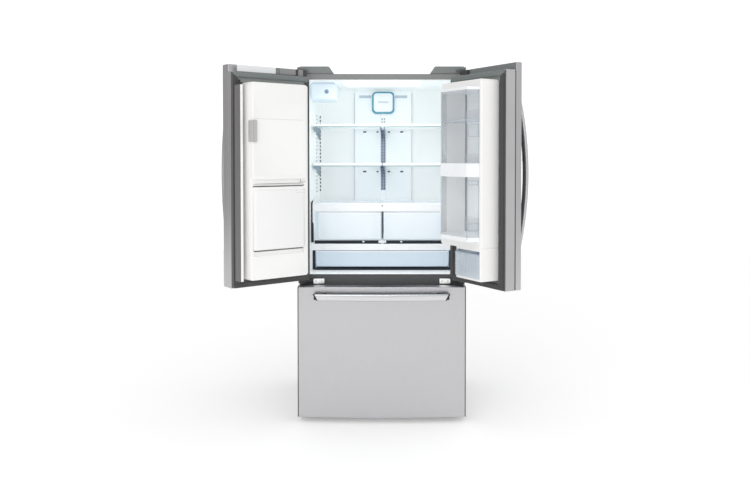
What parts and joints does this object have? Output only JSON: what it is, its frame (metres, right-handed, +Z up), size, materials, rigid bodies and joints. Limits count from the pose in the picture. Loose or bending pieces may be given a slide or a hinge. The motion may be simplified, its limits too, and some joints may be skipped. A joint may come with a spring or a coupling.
{
  "type": "french door refrigerator",
  "caption": "Bottom-freezer french door refrigerator with open doors, folding mullion, door-in-door compartment, sliding drawers and a full-width freezer drawer.",
  "frame": {"origin": "centre of the footprint of the whole object in its open pose, on the floor", "axes": "+Z up, -Y out of the front (freezer drawer), +X to the right seen from the front"},
  "size_m": [1.4374, 1.1717, 1.7705],
  "materials": {
    "door_steel": "brushed stainless",
    "case_paint": "satin grey paint",
    "dark_plastic": "satin",
    "white_liner": "satin white liner",
    "white_plastic": "satin",
    "clear_plastic": "clear, faint blue",
    "shelf_glass": "clear tempered glass",
    "gasket_rubber": "matte",
    "hinge_chrome": "bright plated",
    "zinc_steel": "zinc plated",
    "foam": "foam insulation",
    "black_paint": "satin black",
    "black_plastic": "satin",
    "fin_aluminium": "bare",
    "grey_plastic": "satin",
    "blue_plastic": "satin, pale blue"
  },
  "bodies": {
    "cabinet": {"outer_case": "case_paint", "insulated_body": "foam", "front_frame": "case_paint", "fridge_liner": "white_liner", "freezer_liner": "white_liner", "back_panel": "zinc_steel", "base_frame": "zinc_steel", "machine_cover": "black_plastic", "compressor": "black_paint", "condenser": "black_paint", "evaporator": "fin_aluminium", "freezer_duct_cover": "white_plastic", "air_duct_panel": "white_plastic", "air_filter_cover": "white_plastic", "ceiling_light": "clear_plastic", "top_hinge_left": "zinc_steel", "top_hinge_right": "zinc_steel", "hinge_cover_left": "case_paint", "hinge_cover_right": "case_paint", "middle_hinge_left": "hinge_chrome", "middle_hinge_right": "hinge_chrome", "shelf_upper_left": "shelf_glass", "shelf_upper_right": "shelf_glass", "shelf_lower_left": "shelf_glass", "shelf_lower_right": "shelf_glass", "crisper_cover_shelf": "white_plastic", "pantry_cover": "white_plastic"},
    "filter_lid": {"water_filter_cover": "blue_plastic"},
    "foot_left": {"leveling_leg_left": "zinc_steel"},
    "foot_right": {"leveling_leg_right": "zinc_steel"},
    "roller_left": {"rear_roller_left": "black_plastic"},
    "roller_right": {"rear_roller_right": "black_plastic"},
    "condenser_fan_rotor": {"condenser_fan": "black_plastic"},
    "evaporator_fan_rotor": {"evaporator_fan": "grey_plastic"},
    "crisper_drawer_left": {"crisper_left": "clear_plastic"},
    "crisper_drawer_right": {"crisper_right": "clear_plastic"},
    "pantry": {"pantry_drawer": "clear_plastic"},
    "left_door": {"left_door_shell": "door_steel", "left_door_liner": "white_liner", "left_door_gasket": "gasket_rubber", "left_door_handle": "door_steel", "left_door_bin": "white_plastic", "ice_bin": "clear_plastic", "dispenser_housing": "dark_plastic"},
    "dispenser_lever": {"dispenser_paddle": "grey_plastic"},
    "mullion": {"mullion_bar": "dark_plastic"},
    "ice_door": {"ice_room_door": "white_plastic"},
    "ice_latch": {"ice_room_latch": "grey_plastic"},
    "right_door": {"right_door_frame": "white_liner", "right_frame_gasket": "gasket_rubber", "right_door_compartment": "clear_plastic", "right_lower_bin": "clear_plastic"},
    "right_outer_door": {"right_outer_panel": "door_steel", "right_outer_gasket": "gasket_rubber", "right_door_handle": "door_steel"},
    "release_button": {"latch_button": "black_plastic"},
    "freezer_drawer": {"freezer_drawer_front": "door_steel", "freezer_gasket": "gasket_rubber", "freezer_handle": "door_steel", "freezer_basket": "white_plastic"}
  },
  "joints": [
    {"name": "left_door_hinge", "type": "hinge", "parent": "cabinet", "child": "left_door", "pos_m": [-0.361, -0.202, 0], "axis": [0, 0, -1], "range_deg": [-141, 4]},
    {"name": "right_door_hinge", "type": "hinge", "parent": "cabinet", "child": "right_door", "pos_m": [0.443, -0.202, 0], "axis": [0, 0, 1], "range_deg": [-121, 20]},
    {"name": "right_outer_panel_hinge", "type": "hinge", "parent": "right_door", "child": "right_outer_door", "pos_m": [0.443, -0.202, 0], "axis": [0, 0, 1], "range_deg": [0, 95]},
    {"name": "mullion_hinge", "type": "hinge", "parent": "left_door", "child": "mullion", "pos_m": [-0.60638, -0.51394, 0], "axis": [0, 0, 1], "range_deg": [-90, 0]},
    {"name": "ice_room_door_hinge", "type": "hinge", "parent": "left_door", "child": "ice_door", "pos_m": [-0.31051, -0.3724, 0], "axis": [0, 0, 1], "range_deg": [0, 100]},
    {"name": "ice_latch_pivot", "type": "hinge", "parent": "ice_door", "child": "ice_latch", "pos_m": [-0.51438, -0.5465, 0], "axis": [0, 0, 1], "range_deg": [0, 28], "stiffness_Nm_per_rad": 0.05},
    {"name": "dispenser_lever_pivot", "type": "hinge", "parent": "left_door", "child": "dispenser_lever", "pos_m": [-0.51336, -0.31894, 1.19], "axis": [-0.7771, -0.6293, 0], "range_deg": [0, 8], "stiffness_Nm_per_rad": 0.4},
    {"name": "release_button_slide", "type": "slide", "parent": "right_outer_door", "child": "release_button", "axis": [0.8572, 0.515, 0], "range_m": [0, 0.004], "stiffness_N_per_m": 300},
    {"name": "freezer_drawer_slide", "type": "slide", "parent": "cabinet", "child": "freezer_drawer", "axis": [0, -1, 0], "range_m": [0, 0.45]},
    {"name": "crisper_left_slide", "type": "slide", "parent": "cabinet", "child": "crisper_drawer_left", "axis": [0, -1, 0], "range_m": [0, 0.26]},
    {"name": "crisper_right_slide", "type": "slide", "parent": "cabinet", "child": "crisper_drawer_right", "axis": [0, -1, 0], "range_m": [0, 0.26]},
    {"name": "pantry_drawer_slide", "type": "slide", "parent": "cabinet", "child": "pantry", "axis": [0, -1, 0], "range_m": [0, 0.165]},
    {"name": "water_filter_cover_hinge", "type": "hinge", "parent": "cabinet", "child": "filter_lid", "pos_m": [-0.3255, -0.015, 0], "axis": [0, 0, -1], "range_deg": [0, 80]},
    {"name": "condenser_fan_spin", "type": "hinge", "parent": "cabinet", "child": "condenser_fan_rotor", "pos_m": [-0.014, 0.473, 0.15], "axis": [1, 0, 0], "continuous": true},
    {"name": "evaporator_fan_spin", "type": "hinge", "parent": "cabinet", "child": "evaporator_fan_rotor", "pos_m": [0.041, 0.433, 0.56], "axis": [0, 1, 0], "continuous": true},
    {"name": "left_foot_screw", "type": "hinge", "parent": "cabinet", "child": "foot_left", "pos_m": [-0.289, -0.067, 0], "axis": [0, 0, 1], "continuous": true},
    {"name": "right_foot_screw", "type": "hinge", "parent": "cabinet", "child": "foot_right", "pos_m": [0.371, -0.067, 0], "axis": [0, 0, 1], "continuous": true},
    {"name": "left_roller_spin", "type": "hinge", "parent": "cabinet", "child": "roller_left", "pos_m": [-0.329, 0.528, 0.0185], "axis": [1, 0, 0], "continuous": true},
    {"name": "right_roller_spin", "type": "hinge", "parent": "cabinet", "child": "roller_right", "pos_m": [0.411, 0.528, 0.0185], "axis": [1, 0, 0], "continuous": true}
  ]
}
